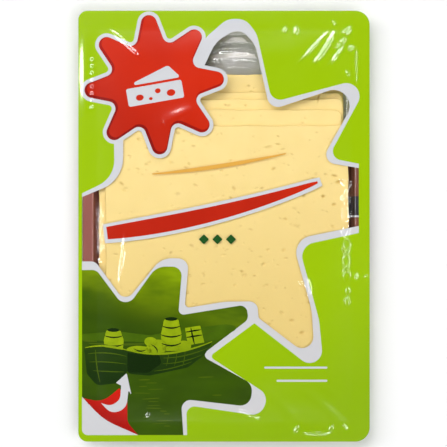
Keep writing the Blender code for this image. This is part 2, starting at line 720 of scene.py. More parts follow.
def ribbon_loop(
    start: Point, middle: Point, end: Point, half_width: Callable[[float], float], notch: float = 0.0
) -> Loop:
    """Returns a band along an arched line.

    Args:
        start: where the line starts.
        middle: a point that it passes halfway.
        end: where it ends.
        half_width: half the band's width at a share of its length.
        notch: how deep a V is cut into each end.

    Returns:
        The loop's points.
    """
    steps = 36
    a, m, b = Vector(start), Vector(middle), Vector(end)
    pull = 2.0 * m - 0.5 * (a + b)
    upper, lower = [], []
    for step in range(steps + 1):
        s = step / steps
        place = a * (1 - s) ** 2 + pull * 2 * s * (1 - s) + b * s * s
        along = ((pull - a) * (1 - s) + (b - pull) * s).normalized()
        side = Vector((-along.y, along.x)) * half_width(s)
        upper.append(tuple(place + side))
        lower.append(tuple(place - side))
    loop = list(upper)
    if notch:
        loop.append(tuple(b - (b - pull).normalized() * notch))
    loop += lower[::-1]
    if notch:
        loop.append(tuple(a + (pull - a).normalized() * notch))
    return loop


# ---------------------------------------------------------------- relief of the film


@dataclass(frozen=True)
class Crease:
    """A long low ridge in the film."""

    start: Point
    end: Point
    width: float
    height: float
    bow: float = 0.0

    def lift(self, x: np.ndarray, y: np.ndarray) -> np.ndarray:
        """Returns how high the ridge stands at each place, in millimetres.

        Args:
            x: places along X.
            y: places along Y.

        Returns:
            The heights.
        """
        run = np.array(self.end) - np.array(self.start)
        length = float(np.hypot(*run))
        along = ((x - self.start[0]) * run[0] + (y - self.start[1]) * run[1]) / length**2
        across = ((x - self.start[0]) * -run[1] + (y - self.start[1]) * run[0]) / length
        share = np.clip(along, 0.0, 1.0)
        across = across - self.bow * np.sin(np.pi * share)
        beyond = (along - share) * length
        fall = np.exp(-((across / self.width) ** 2) - (beyond / self.width) ** 2)
        return self.height * fall * np.sqrt(np.sin(np.pi * np.clip(share, 0.02, 0.98)))

    def near(self, x: np.ndarray, y: np.ndarray) -> np.ndarray:
        """Returns where the ridge is high enough to need a finer mesh."""
        return np.abs(self.lift(x, y)) > 0.04 * abs(self.height)


@dataclass(frozen=True)
class Pucker:
    """A chain of loops pressed into the film: two ridges that weave round a straight line."""

    x: float
    low: float
    high: float
    pitch: float
    swing: float
    width: float
    height: float

    def lift(self, x: np.ndarray, y: np.ndarray) -> np.ndarray:
        """Works out how high the chain stands at each place.

        Args:
            x: the places' x in millimetres.
            y: their y in millimetres.

        Returns:
            The heights in millimetres.
        """
        phase = np.pi * (self.high - y) / self.pitch
        sway = self.swing * np.sin(phase)
        ridges = np.exp(-(((x - self.x - sway) / self.width) ** 2))
        ridges = ridges + np.exp(-(((x - self.x + 0.8 * sway) / self.width) ** 2))
        ends = np.clip((y - self.low) / 4.0, 0.0, 1.0) * np.clip((self.high - y) / 4.0, 0.0, 1.0)
        patchy = 0.6 + 0.4 * np.sin(1.7 * phase + 0.6)
        return self.height * ridges * ends * patchy

    def near(self, x: np.ndarray, y: np.ndarray) -> np.ndarray:
        """Returns where the chain needs a finer mesh."""
        reach = self.swing + 3.0 * self.width
        return (np.abs(x - self.x) < reach) & (y > self.low - 1.0) & (y < self.high + 1.0)


@dataclass(frozen=True)
class Dimples:
    """A row of small round bumps along the seal."""

    x: float
    low: float
    high: float
    pitch: float
    width: float
    height: float

    def lift(self, x: np.ndarray, y: np.ndarray) -> np.ndarray:
        """Works out how high the bumps stand at each place.

        Args:
            x: the places' x in millimetres.
            y: their y in millimetres.

        Returns:
            The heights in millimetres.
        """
        step = (y - self.low) / self.pitch
        off = (step - np.round(step)) * self.pitch
        inside = (y > self.low - 0.5 * self.pitch) & (y < self.high + 0.5 * self.pitch)
        return self.height * inside * np.exp(-((x - self.x) ** 2 + off**2) / self.width**2)

    def near(self, x: np.ndarray, y: np.ndarray) -> np.ndarray:
        """Returns where the bumps need a finer mesh."""
        return (np.abs(x - self.x) < 3.0 * self.width) & (y > self.low - 2.0) & (y < self.high + 2.0)


@dataclass
class FilmRelief:
    """Height of the film over the whole pack."""

    half_width: float
    half_length: float
    flange_top: float
    flange_width: float = 6.5
    plateau: float = 0.42
    plateau_reach: float = 15.0
    trough: float = 0.04
    trough_place: float = 2.6
    trough_width: float = 1.7
    edge_roll: float = 0.04
    edge_reach: float = 1.5
    wave: float = 0.07
    wave_reach: float = 8.0
    marks: list[Crease | Pucker | Dimples] = field(default_factory=list)

    def height(self, x: np.ndarray, y: np.ndarray) -> np.ndarray:
        """Returns the film's height above the floor at each place, in millimetres.

        Args:
            x: places along X.
            y: places along Y.

        Returns:
            The heights.
        """
        to_edge = np.minimum(self.half_width - np.abs(x), self.half_length - np.abs(y))
        inside = to_edge - self.flange_width
        rise = np.clip(inside / self.plateau_reach, 0.0, 1.0)
        z = self.plateau * rise * rise * (3.0 - 2.0 * rise)
        z = z - self.trough * np.exp(-(((inside - self.trough_place) / self.trough_width) ** 2))
        z = z - self.edge_roll * np.exp(-to_edge / self.edge_reach)
        calm = np.clip(inside / self.wave_reach, 0.0, 1.0)
        waves = np.sin(0.105 * x + 0.061 * y + 0.6) * np.sin(0.048 * x - 0.113 * y + 1.9)
        waves = waves + 0.6 * np.sin(0.21 * x - 0.13 * y) * np.sin(0.09 * x + 0.19 * y + 0.8)
        z = z + self.wave * calm * waves
        for mark in self.marks:
            z = z + mark.lift(x, y)
        return self.flange_top + z

    def fine(self, x: np.ndarray, y: np.ndarray) -> np.ndarray:
        """Finds where the film's mesh has to be finer.

        Args:
            x: the places' x in millimetres.
            y: their y in millimetres.

        Returns:
            True at each place near a mark.
        """
        mask = np.zeros(np.shape(x), bool)
        for mark in self.marks:
            mask |= mark.near(x, y)
        return mask

    def normals(self, x: np.ndarray, y: np.ndarray) -> np.ndarray:
        """Works out which way the film faces at each place.

        Args:
            x: the places' x in millimetres.
            y: their y in millimetres.

        Returns:
            The unit normals, pointing up.
        """
        step = 0.05
        dx = (self.height(x + step, y) - self.height(x - step, y)) / (2.0 * step)
        dy = (self.height(x, y + step) - self.height(x, y - step)) / (2.0 * step)
        normal = np.stack([-dx, -dy, np.ones_like(dx)], axis=1)
        return normal / np.linalg.norm(normal, axis=1, keepdims=True)


# ---------------------------------------------------------------- mesh helpers


def cut_into_strips(
    bm: bmesh.types.BMesh, faces: list, axis: int, low: float, high: float, pitch: float
) -> list:
    """Cuts faces by evenly spaced planes, halving the stretch each time.

    Args:
        bm: the mesh.
        faces: the faces to cut.
        axis: 0 for planes across X, 1 for planes across Y.
        low: lower end of the stretch.
        high: upper end of the stretch.
        pitch: distance between planes.

    Returns:
        All the faces that the cuts leave.
    """
    count = round((high - low) / pitch)
    if count < 2 or not faces:
        return faces
    middle = low + pitch * (count // 2)
    place, normal = [0.0, 0.0, 0.0], [0.0, 0.0, 0.0]
    place[axis], normal[axis] = middle, 1.0
    edges = {edge for face in faces for edge in face.edges}
    verts = {vert for face in faces for vert in face.verts}
    cut = bmesh.ops.bisect_plane(
        bm, geom=[*faces, *edges, *verts], dist=1e-6, plane_co=place, plane_no=normal
    )
    sides: tuple[list, list] = ([], [])
    for item in cut["geom"]:
        if isinstance(item, bmesh.types.BMFace):
            sides[item.calc_center_bounds()[axis] > middle].append(item)
    lower = cut_into_strips(bm, sides[0], axis, low, middle, pitch)
    return lower + cut_into_strips(bm, sides[1], axis, middle, high, pitch)


def finish_object(
    bm: bmesh.types.BMesh, name: str, finish: object, slot: Slot, *nodes: str
) -> bpy.types.Object:
    """Turns a bmesh in metres into a piece that rides on the pack.

    Args:
        bm: the mesh, which is freed.
        name: the piece's name.
        finish: its finish or ink.
        slot: the record's slot; not used.
        nodes: the CAD nodes that it stands for.

    Returns:
        The piece.
    """
    mesh = bpy.data.meshes.new(name)
    bm.to_mesh(mesh)
    bm.free()
    mesh.materials.append(SHELF.get(finish))
    mesh.shade_smooth()
    piece = bpy.data.objects.new(name, mesh)
    bpy.context.scene.collection.objects.link(piece)
    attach(piece, BODY)
    if nodes:
        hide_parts(*nodes)
    LOG.info("%s: %d faces", name, len(mesh.polygons))
    return piece


def swept_strip(line: Sequence[Corner], run: Corner, steps: int = 1) -> bmesh.types.BMesh:
    """Sweeps an open line along a straight run.

    Args:
        line: the line's points, in millimetres.
        run: the whole run along X, Y and Z.
        steps: how many rows of faces it makes.

    Returns:
        The strip, with its faces up.
    """
    bm = bmesh.new()
    verts = [bm.verts.new(point) for point in line]
    edges = [bm.edges.new(pair) for pair in zip(verts, verts[1:])]
    for _ in range(steps):
        swept = bmesh.ops.extrude_edge_only(bm, edges=edges)["geom"]
        moved = {item for item in swept if isinstance(item, bmesh.types.BMVert)}
        swept_edges = [item for item in swept if isinstance(item, bmesh.types.BMEdge)]
        edges = [edge for edge in swept_edges if moved.issuperset(edge.verts)]
        bmesh.ops.translate(bm, vec=Vector(run) / steps, verts=list(moved))
    bmesh.ops.recalc_face_normals(bm, faces=bm.faces)
    if sum(face.normal.z * face.calc_area() for face in bm.faces) < 0.0:
        bmesh.ops.reverse_faces(bm, faces=bm.faces)
    return bm


@dataclass
class FilmPress:
    """Makes pieces of film: an outline is filled, cut into a grid and pressed to the relief."""

    relief: FilmRelief
    pitch: float = 1.5
    finest: float = 0.45

    def press(
        self,
        name: str,
        patches: Iterable[Patch],
        finish: object,
        lift: float = 0.0,
        slot: Slot = Slot.FILM,
        nodes: tuple[str, ...] = (),
    ) -> bpy.types.Object:
        """Makes one piece of film.

        Args:
            name: the piece's name.
            patches: the piece's patches, each a list of loops whose first is the outline.
            finish: its finish or ink.
            lift: how far it stands above the film, in millimetres.
            slot: the record's slot.
            nodes: the CAD nodes that it stands for.

        Returns:
            The piece.
        """
        bm = bmesh.new()
        for patch in patches:
            self._fill(bm, patch)
        bmesh.ops.remove_doubles(bm, verts=bm.verts, dist=0.002)
        faces = list(bm.faces)
        for axis, half in ((0, self.relief.half_width), (1, self.relief.half_length)):
            reach = self.pitch * math.ceil(half / self.pitch)
            faces = cut_into_strips(bm, faces, axis, -reach, reach, self.pitch)
        for _ in range(2):
            self._refine(bm)
        for face in bm.faces:
            if face.normal.z < 0.0:
                face.normal_flip()
        places = np.array([vert.co[:2] for vert in bm.verts])
        heights = self.relief.height(places[:, 0], places[:, 1]) + lift
        for vert, z in zip(bm.verts, heights):
            vert.co.z = z
        bmesh.ops.scale(bm, vec=(MM, MM, MM), verts=bm.verts)
        piece = finish_object(bm, name, finish, slot, *nodes)
        normals = self.relief.normals(places[:, 0], places[:, 1])
        piece.data.normals_split_custom_set_from_vertices([tuple(n) for n in normals])
        return piece

    @staticmethod
    def _fill(bm: bmesh.types.BMesh, patch: Patch) -> None:
        """Fills an outline, less its holes, with triangles.

        Args:
            bm: the mesh.
            patch: the outline, then its holes.
        """
        edges = []
        for loop in patch:
            verts = [bm.verts.new((x, y, 0.0)) for x, y in loop]
            edges += [bm.edges.new((verts[i - 1], verts[i])) for i in range(len(verts))]
        bmesh.ops.triangle_fill(bm, use_beauty=True, edges=edges, normal=(0.0, 0.0, 1.0))

    def _refine(self, bm: bmesh.types.BMesh) -> None:
        """Halves the edges of faces that a sharp mark crosses.

        Args:
            bm: the flat sheet.
        """
        if not self.relief.marks:
            return
        edges = list(bm.edges)
        middles = np.array([(0.5 * (e.verts[0].co + e.verts[1].co))[:2] for e in edges])
        lengths = np.array([e.calc_length() for e in edges])
        wanted = self.relief.fine(middles[:, 0], middles[:, 1]) & (lengths > self.finest)
        chosen = [edge for edge, yes in zip(edges, wanted) if yes]
        if chosen:
            bmesh.ops.subdivide_edges(bm, edges=chosen, cuts=1, use_grid_fill=True)
            bmesh.ops.triangulate(bm, faces=[f for f in bm.faces if len(f.verts) > 4])


# ---------------------------------------------------------------- the printed lid


@dataclass
class PrintLayout:
    """Outlines that the fields of the print share, as corners with fillet radii."""

    left: float = -69.2
    bottom: float = -101.8
    frame_corner: float = 2.7
    crest_outer: tuple = (
        (-17.5, 73.8, 0.0), (-8.6, 92.2, 8.0), (1.5, 101.0, 9.0), (10.5, 101.0, 8.0), (16.0, 93.7, 12.0),
        (23.4, 60.3, 5.4), (72.3, 73.3, 6.4), (50.7, 33.4, 4.4), (65.7, 30.4, 0.0),
    )
    crest_inner: tuple = (
        (-12.0, 73.0, 0.0), (-4.1, 89.7, 14.0), (4.0, 94.9, 8.0), (9.2, 94.9, 6.0), (15.2, 88.8, 14.0),
        (22.4, 56.5, 5.4), (70.0, 72.3, 7.8), (47.2, 31.5, 4.7), (65.7, 28.3, 0.0),
    )
    shoulder_outer: tuple = ((-69.2, 16.0, 0.0), (-53.3, 23.7, 14.7), (-53.7, 46.9, 0.0))
    shoulder_inner: tuple = ((-69.2, 14.2, 0.0), (-49.2, 22.5, 17.6), (-49.1, 47.9, 0.0))
    lower_inner: tuple = (
        (65.7, 0.1, 0.0), (33.1, -6.6, 8.3), (42.7, -40.7, 29.4), (44.3, -65.7, 6.3),
        (16.8, -44.7, 2.0), (16.2, -36.6, 4.9), (0.3, -36.8, 29.4), (-19.2, -40.0, 2.0),
        (-17.1, -15.9, 4.9), (-30.3, -15.4, 10.8), (-48.1, -37.2, 4.4), (-62.7, -17.2, 4.4),
        (-69.2, -17.2, 0.0),
    )
    lower_outer: tuple = (
        (65.7, -3.3, 0.0), (36.4, -9.6, 6.9), (46.3, -45.6, 29.4), (49.0, -73.9, 7.0),
        (14.8, -47.3, 0.4), (-7.2, -63.5, 1.7), (21.6, -82.3, 5.9), (18.0, -92.5, 6.9),
        (-18.4, -87.2, 3.9), (-18.0, -101.8, 0.0),
    )
    picture_edge: tuple = (
        (-69.2, -21.4, 0.0), (-62.2, -21.3, 4.4), (-47.9, -40.5, 5.1), (-32.9, -19.6, 8.8),
        (-20.3, -19.8, 4.4), (-22.3, -43.5, 2.4), (10.9, -38.2, 4.2), (11.9, -45.4, 3.9),
        (-11.2, -63.0, 2.4), (14.0, -77.0, 5.9), (12.7, -88.0, 5.9), (-21.0, -84.1, 4.4),
        (-19.8, -101.8, 0.0),
    )

    def path(self, name: str) -> Loop:
        """Returns a shared path as points."""
        return rounded_path(getattr(self, name))

    def corner(self) -> Loop:
        """Rounds the corner where the bottom strip of the frame meets the left one.

        Returns:
            The corner's points.
        """
        reach = 3.0 * self.frame_corner
        corners = ((self.left + reach, self.bottom, 0.0), (self.left, self.bottom, self.frame_corner))
        return rounded_path([*corners, (self.left, self.bottom + reach, 0.0)])[1:-1]


@dataclass
class PrintedLid:
    """The sealed film: lime field, pale splash border, clear window and picture field."""

    press: FilmPress
    layout: PrintLayout
    corner_left: float = 4.5
    corner_right: float = 7.0

    def _pack_side(self, top: bool) -> Loop:
        """Returns the pack's edge, from the seam on its left to the seam on its right.

        Args:
            top: whether to go round by the top or by the bottom.

        Returns:
            The points.
        """
        w, h = self.press.relief.half_width, self.press.relief.half_length
        left_seam, right_seam = self.layout.shoulder_outer[0][1], self.layout.crest_outer[-1][1]
        y = h if top else -h
        return rounded_path([
            (-w, left_seam, 0.0), (-w, y, self.corner_left), (w, y, self.corner_right), (w, right_seam, 0.0)
        ])

    def build(self) -> None:
        """Builds the four fields of the film."""
        lay = self.layout
        crest_out, crest_in = lay.path("crest_outer"), lay.path("crest_inner")
        shoulder_out, shoulder_in = lay.path("shoulder_outer"), lay.path("shoulder_inner")
        lower_out, lower_in = lay.path("lower_outer"), lay.path("lower_inner")
        picture = lay.path("picture_edge")
        strip_corner = lay.corner()
        upper = self._pack_side(True) + crest_out[::-1] + shoulder_out[::-1]
        lower = self._pack_side(False) + [crest_out[-1]] + lower_out + strip_corner + [shoulder_out[0]]
        press = self.press.press
        press("lime_field", [[upper], [lower]], Ink.LIME, nodes=("lid_film",))
        border = [
            [crest_in + crest_out[::-1]],
            [shoulder_out + shoulder_in[::-1]],
            [lower_in + picture + lower_out[::-1]],
        ]
        press("splash_border", border, Ink.PALE)
        press("picture_field", [[picture + strip_corner]], Ink.PICTURE)
        window = crest_in + lower_in + shoulder_in
        pane = press("clear_window", [[window]], ClearFinish("clear_film"), slot=Slot.TRAY)
        pane.visible_shadow = False
        pane.visible_diffuse = False


@dataclass
class Badge:
    """A plain regular star with rounded points and a slanted, cut-out wedge of cheese."""

    press: FilmPress
    middle: Point = (-34.0, 68.9)
    points: int = 8
    tip_reach: float = 44.0
    valley_reach: float = 19.6
    tip_radius: float = 4.4
    valley_radius: float = 3.6
    phase: float = 5.0
    rim: float = 1.8
    shade: tuple[float, float, float] = (0.45, 0.55, 0.8)
    tilt: float = 10.0

    def build(self) -> None:
        """Builds the star from its rim up."""
        star = self._star()
        press = self.press.press
        press("badge_rim", [[grown_loop(star, self.rim)]], Ink.PALE, lift=0.04)
        raised = [(x + self.shade[0], y + self.shade[1]) for x, y in grown_loop(star, -self.shade[2])]
        press("badge_shade", [[star]], Ink.RED_SHADE, lift=0.06)
        press("badge_body", [[raised]], Ink.RED, lift=0.08)
        press("badge_wedge", [self._wedge_side(), self._wedge_top()], Ink.PALE, lift=0.11)

    def _star(self) -> Loop:
        """Draws the star's outline.

        Returns:
            The closed outline.
        """
        corners = []
        for number in range(self.points):
            turn = self.phase + 360.0 * number / self.points
            valley_turn = turn + 180.0 / self.points
            corners.append((*turned(self.tip_reach, 0.0, turn, self.middle), self.tip_radius))
            corners.append((*turned(self.valley_reach, 0.0, valley_turn, self.middle), self.valley_radius))
        return rounded_path(corners, closed=True, turn_step=6.0)

    def _at(self, x: float, y: float) -> Point:
        """Returns a place measured from the star's middle along the slant of its icon."""
        return turned(x, y, self.tilt, self.middle)

    def _patch(self, corners: Sequence[Corner]) -> Loop:
        """Returns a rounded patch of the icon."""
        return rounded_path([(*self._at(x, y), radius) for x, y, radius in corners], closed=True)

    def _wedge_side(self) -> Patch:
        """Draws the wedge's cut side with its eyes.

        Returns:
            The side's outline and its holes.
        """
        side = self._patch([(-14.0, -8.6, 1.0), (13.4, -8.6, 1.0), (13.4, 0.2, 1.0), (-14.0, 0.2, 1.0)])
        eyes = [(-8.0, -5.0, 3.8, 3.0), (1.2, -3.2, 2.8, 2.4), (7.4, -5.2, 4.2, 3.3), (-2.8, -6.4, 1.8, 1.5)]
        return [side] + [oval_loop(self._at(x, y), wide, high, self.tilt, 20) for x, y, wide, high in eyes]

    def _wedge_top(self) -> Patch:
        """Returns the wedge's top."""
        return [self._patch([(-14.0, 1.4, 0.8), (13.4, 1.4, 0.8), (8.2, 8.2, 1.8)])]


@dataclass
class TitleBanner:
    """A blank banner across the window, with a gold line over it and small marks under it."""

    press: FilmPress
    start: Point = (-57.0, -3.4)
    middle: Point = (-4.6, 6.2)
    end: Point = (45.6, 21.4)
    rim: float = 1.6
    gold_line: tuple = ((-34.9, 25.4), (-2.4, 29.2), (30.2, 35.4))
    bar_starts: tuple = ((19.6, -68.9), (25.6, -75.3))
    bar_end: float = 50.3

    def build(self) -> None:
        """Builds the banner and its ornaments."""
        press = self.press.press
        rim = ribbon_loop(
            self._stretched(self.start, -self.rim), self.middle, self._stretched(self.end, self.rim),
            lambda s: self._half_width(s) + self.rim,
        )
        body = ribbon_loop(self.start, self.middle, self.end, self._half_width)
        press("banner_rim", [[rim]], Ink.PALE, lift=0.04)
        press("banner_body", [[body]], Ink.RED, lift=0.08)
        line = ribbon_loop(*self.gold_line, lambda s: 0.25 + 0.75 * math.sin(math.pi * s))
        press("gold_line", [[line]], Ink.GOLD, lift=0.04)
        lozenges = [[self._lozenge(x, -6.4, 2.5)] for x in (-9.8, -3.2, 3.4)]
        press("leaf_marks", lozenges, Ink.LEAF, lift=0.04)
        bars = [[rounded_box(x, y - 0.5, self.bar_end, y + 0.5, 0.4)] for x, y in self.bar_starts]
        press("pale_bars", bars, Ink.PALE, lift=0.04)

    @staticmethod
    def _half_width(share: float) -> float:
        """Returns half the banner's width at a share of its length: a brush stroke that thins out."""
        return 0.5 + 3.4 * math.sin(math.pi * min(1.0, 0.12 + 0.88 * share) ** 0.7) ** 0.7

    def _stretched(self, place: Point, reach: float) -> Point:
        """Returns a place moved along the banner."""
        along = (Vector(self.end) - Vector(self.start)).normalized()
        return tuple(Vector(place) + along * reach)

    @staticmethod
    def _lozenge(x: float, y: float, reach: float) -> Loop:
        """Returns a small square on its corner."""
        corners = ((x - reach, y), (x, y - reach), (x + reach, y), (x, y + reach))
        return rounded_path([(*corner, 0.5) for corner in corners], True)


@dataclass
class OpeningTab:
    """The corner to peel: pale triangle, red field over it and a curved arrow."""

    press: FilmPress
    layout: PrintLayout
    fold: tuple = ((-69.2, -83.1, 0.0), (-58.9, -94.3, 29.4), (-41.8, -101.8, 0.0))
    red_top: tuple = ((-69.2, -83.6, 0.0), (-59.4, -85.8, 12.2), (-51.0, -78.9, 0.0))
    red_side: tuple = ((-47.1, -84.3, 0.0), (-47.1, -95.6, 5.9), (-41.8, -101.8, 0.0))
    arrow: tuple = (
        (-59.9, -86.2, 0.0), (-55.0, -91.4, 7.0), (-47.6, -89.0, 6.0), (-46.5, -79.6, 0.3),
        (-44.8, -83.4, 0.3),
        (-47.4, -71.6, 0.3), (-52.7, -76.3, 0.3), (-50.1, -77.6, 0.3), (-50.6, -84.6, 4.5),
        (-55.2, -87.6, 5.0),
    )

    def build(self) -> None:
        """Builds the tab's three fields."""
        fold = rounded_path(self.fold)
        pale = fold + self.layout.corner()
        red = rounded_path(self.red_top) + rounded_path(self.red_side) + fold[::-1][1:-1]
        press = self.press.press
        press("tab_pale", [[pale]], Ink.PALE, lift=0.04)
        press("tab_red", [[red]], Ink.TAB_RED, lift=0.04)
        press("tab_arrow", [[rounded_path(self.arrow, closed=True)]], Ink.PALE, lift=0.1)


@dataclass
class HarbourPicture:
    """Simple shapes on the picture field: a far shore, a moored boat, its load and ripples."""

    press: FilmPress
    shore: tuple = (
        (-69.1, -52.6, 0.0), (-52.0, -51.2, 12.0), (-36.0, -53.2, 12.0), (-18.0, -50.0, 12.0),
        (2.0, -47.6, 12.0),
        (7.6, -49.4, 2.0), (-3.0, -55.4, 2.0), (-30.0, -56.6, 8.0), (-69.1, -55.6, 0.0),
    )
    near_hull: tuple = (
        (-68.2, -59.4, 1.0), (-62.8, -58.2, 1.5), (-46.6, -60.6, 1.5), (-45.4, -67.6, 3.0),
        (-50.8, -76.4, 4.0),
        (-62.0, -77.6, 4.0), (-66.8, -72.0, 3.0),
    )
    far_hull: tuple = (
        (-46.8, -60.4, 1.0), (-34.0, -62.0, 8.0), (-18.0, -60.2, 8.0), (-5.6, -56.2, 0.6),
        (-9.4, -62.6, 3.0),
        (-17.6, -68.8, 5.0), (-36.4, -72.8, 6.0), (-47.2, -71.8, 2.0),
    )
    hold: tuple = (
        (-47.0, -61.6, 0.6), (-38.0, -62.8, 2.0), (-31.6, -62.6, 1.0), (-30.4, -66.8, 2.0),
        (-36.8, -71.4, 3.0),
        (-47.0, -71.2, 1.0),
    )

    def build(self) -> None:
        """Builds the shapes from the back of the picture to its front."""
        layers = (
            ("far_shore", Ink.SHORE, 0.03, self._patches(self.shore)),
            ("ripples", Ink.RIPPLE, 0.03, self._ripples()),
            ("boat_back_rail", Ink.PLANK, 0.04, self._back_rails()),
            ("boat_loads", Ink.CARGO, 0.055, self._loads()),
            ("boat_hulls", Ink.HULL, 0.07, self._patches(self.near_hull, self.far_hull)),
            ("boat_hold", Ink.HOLD, 0.085, [*self._patches(self.hold), *self._shadows()]),
            ("boat_planks", Ink.PLANK, 0.1, self._planks()),
            ("boat_rail", Ink.CARGO, 0.115, self._rails()),
        )
        for name, ink, lift, shapes in layers:
            self.press.press(name, shapes, ink, lift=lift)

    @staticmethod
    def _patches(*outlines: Sequence[Corner]) -> list[Patch]:
        """Returns one patch for each closed outline."""
        return [[rounded_path(outline, True)] for outline in outlines]

    @staticmethod
    def _stroke(start: Point, middle: Point, end: Point, half: float) -> Patch:
        """Returns a thin line that tapers at both ends."""
        return [ribbon_loop(start, middle, end, lambda s: half * (0.35 + 0.65 * math.sin(math.pi * s)))]

    def _loads(self) -> list[Patch]:
        """Draws the heaps, the casks and the crate in the boat.

        Returns:
            One patch for each.
        """
        heaps = [
            ((-32.6, -59.0), 10.6, 7.4, 12.0), ((-19.6, -58.4), 7.2, 5.4, 0.0),
            ((-41.0, -60.6), 13.0, 4.6, -3.0),
            ((-35.6, -56.4), 6.4, 4.8, -10.0),
        ]
        crate = [(-17.6, -58.0, 0.3), (-19.0, -49.6, 0.3), (-11.6, -48.4, 0.3), (-9.6, -56.6, 0.3)]
        tall_cask = [
            (-29.8, -60.8, 0.6), (-30.8, -53.0, 5.0), (-29.2, -45.4, 0.8), (-22.2, -45.4, 0.8),
            (-20.6, -53.0, 5.0),
            (-21.6, -60.8, 0.6),
        ]
        cask = [
            (-58.0, -60.8, 0.6), (-58.6, -55.6, 4.0), (-57.4, -50.8, 0.8), (-50.4, -50.8, 0.8),
            (-48.8, -55.6, 4.0),
            (-49.4, -60.8, 0.6),
        ]
        return [[oval_loop(*heap)] for heap in heaps] + self._patches(cask, tall_cask, crate)

    def _shadows(self) -> list[Patch]:
        """Draws the lids and hoops of the casks, the crate's slats and the folds of the heaps.

        Returns:
            One patch for each.
        """
        folds = [
            ((-58.2, -53.4), (-53.6, -54.2), (-49.4, -53.4), 0.35),
            ((-58.4, -57.6), (-53.6, -58.5), (-49.2, -57.6), 0.35),
            ((-30.2, -48.6), (-25.7, -49.6), (-21.2, -48.6), 0.4),
            ((-30.8, -52.8), (-25.7, -53.9), (-20.6, -52.8), 0.4),
            ((-30.4, -57.0), (-25.7, -58.2), (-21.0, -57.0), 0.4),
            ((-35.4, -57.6), (-33.0, -59.6), (-32.6, -61.6), 0.3),
            ((-18.6, -51.6), (-15.0, -51.0), (-11.2, -50.4), 0.4),
            ((-18.2, -54.2), (-14.6, -53.6), (-10.6, -53.0), 0.4),
            ((-44.0, -59.6), (-41.0, -60.8), (-38.0, -60.2), 0.3),
            ((-16.2, -49.4), (-15.2, -54.0), (-14.4, -57.4), 0.4),
        ]
        lids = [[oval_loop((-53.9, -50.6), 5.8, 1.8)], [oval_loop((-25.7, -45.2), 6.0, 1.8)]]
        return lids + [self._stroke(*fold) for fold in folds]

    def _planks(self) -> list[Patch]:
        """Draws the lighter edges of the hull's planks.

        Returns:
            One patch for each.
        """
        lines = [
            ((-66.4, -62.2), (-57.0, -61.8), (-47.6, -63.4), 0.3),
            ((-65.6, -66.2), (-57.0, -66.2), (-47.6, -67.2), 0.25),
            ((-63.8, -70.4), (-56.0, -70.8), (-48.6, -71.0), 0.25),
            ((-62.6, -60.2), (-62.0, -68.0), (-60.4, -76.0), 0.3),
            ((-29.4, -64.2), (-19.0, -63.0), (-8.0, -59.4), 0.3),
            ((-29.8, -67.0), (-20.0, -65.8), (-10.8, -62.6), 0.25),
            ((-34.0, -70.6), (-25.0, -69.0), (-15.6, -66.0), 0.25),
        ]
        ribs = [
            ((x, -59.8 + 0.06 * x), (x - 0.3, -64.5), (x - 1.2, -68.2), 0.2) for x in (-27.0, -23.0, -19.0)
        ]
        return [self._stroke(*line) for line in (*lines, *ribs)]

    def _back_rails(self) -> list[Patch]:
        """Draws the boat's far rail and two oars.

        Returns:
            One patch for each stroke.
        """
        lines = [
            ((-66.0, -57.0), (-48.0, -57.6), (-28.0, -56.4), 0.5),
            ((-20.0, -55.6), (-12.0, -55.6), (-6.0, -56.0), 0.5),
            ((-62.0, -56.2), (-67.0, -55.8), (-68.6, -55.6), 0.5),
            ((-11.0, -54.0), (-7.6, -51.8), (-4.0, -51.0), 0.3),
        ]
        return [self._stroke(*line) for line in lines]

    def _rails(self) -> list[Patch]:
        """Draws the bright near rail.

        Returns:
            One patch for each stroke.
        """
        lines = [
            ((-47.0, -60.4), (-27.0, -61.9), (-5.8, -56.2), 0.5),
            ((-67.6, -59.2), (-57.0, -58.4), (-46.8, -60.6), 0.4),
        ]
        return [self._stroke(*line) for line in lines]

    @staticmethod
    def _ripples() -> list[Patch]:
        """Draws thin streaks of light on the water, from a seeded draw.

        Returns:
            One patch for each streak.
        """
        draw = random.Random(5)
        streaks = []
        for number in range(17):
            y = -73.6 - 1.5 * number + draw.uniform(-0.3, 0.3)
            low, high = (-40.0, 2.0) if y > -83.0 else (-38.0, -26.0)
            x = draw.uniform(low, high)
            length = draw.uniform(3.0, 9.0)
            streaks.append([oval_loop((x, y), length, draw.uniform(0.3, 0.6), draw.uniform(-3.0, 4.0), 16)])
        return streaks


# ---------------------------------------------------------------- tray and back print


@dataclass
class TrayProfile:
    """Cross-section of the tray's inner surface, the same on all four sides."""

    flange_top: float
    flange_width: float = 6.5
    wall: float = 0.5
    mouth_bend: float = 1.0
    draft: float = 1.2
    floor_bend: float = 2.0
    ledge_share: float = 0.45
    steps: int = 7

    def points(self) -> Loop:
        """Works out the wall's profile from the mouth to the floor.

        Returns:
            (distance inside the mouth, height) of each point, in millimetres.
        """
        rows = []
        for step in range(self.steps + 1):
            turn = 0.5 * math.pi * step / self.steps
            drop = self.mouth_bend * (1 - math.cos(turn))
            rows.append((self.mouth_bend * math.sin(turn), self.flange_top - drop))
        base = self.mouth_bend + self.draft
        ledge, ledge_inset = self.ledge_share * self.flange_top, 0.62 * base
        rows.append((ledge_inset, ledge + 0.5))
        rows.append((ledge_inset + 0.45, ledge))
        for step in range(self.steps + 1):
            turn = 0.5 * math.pi * step / self.steps
            rows.append((
                base + self.floor_bend * (1 - math.cos(turn)),
                self.wall + self.floor_bend * (1 - math.sin(turn)),
            ))
        return rows


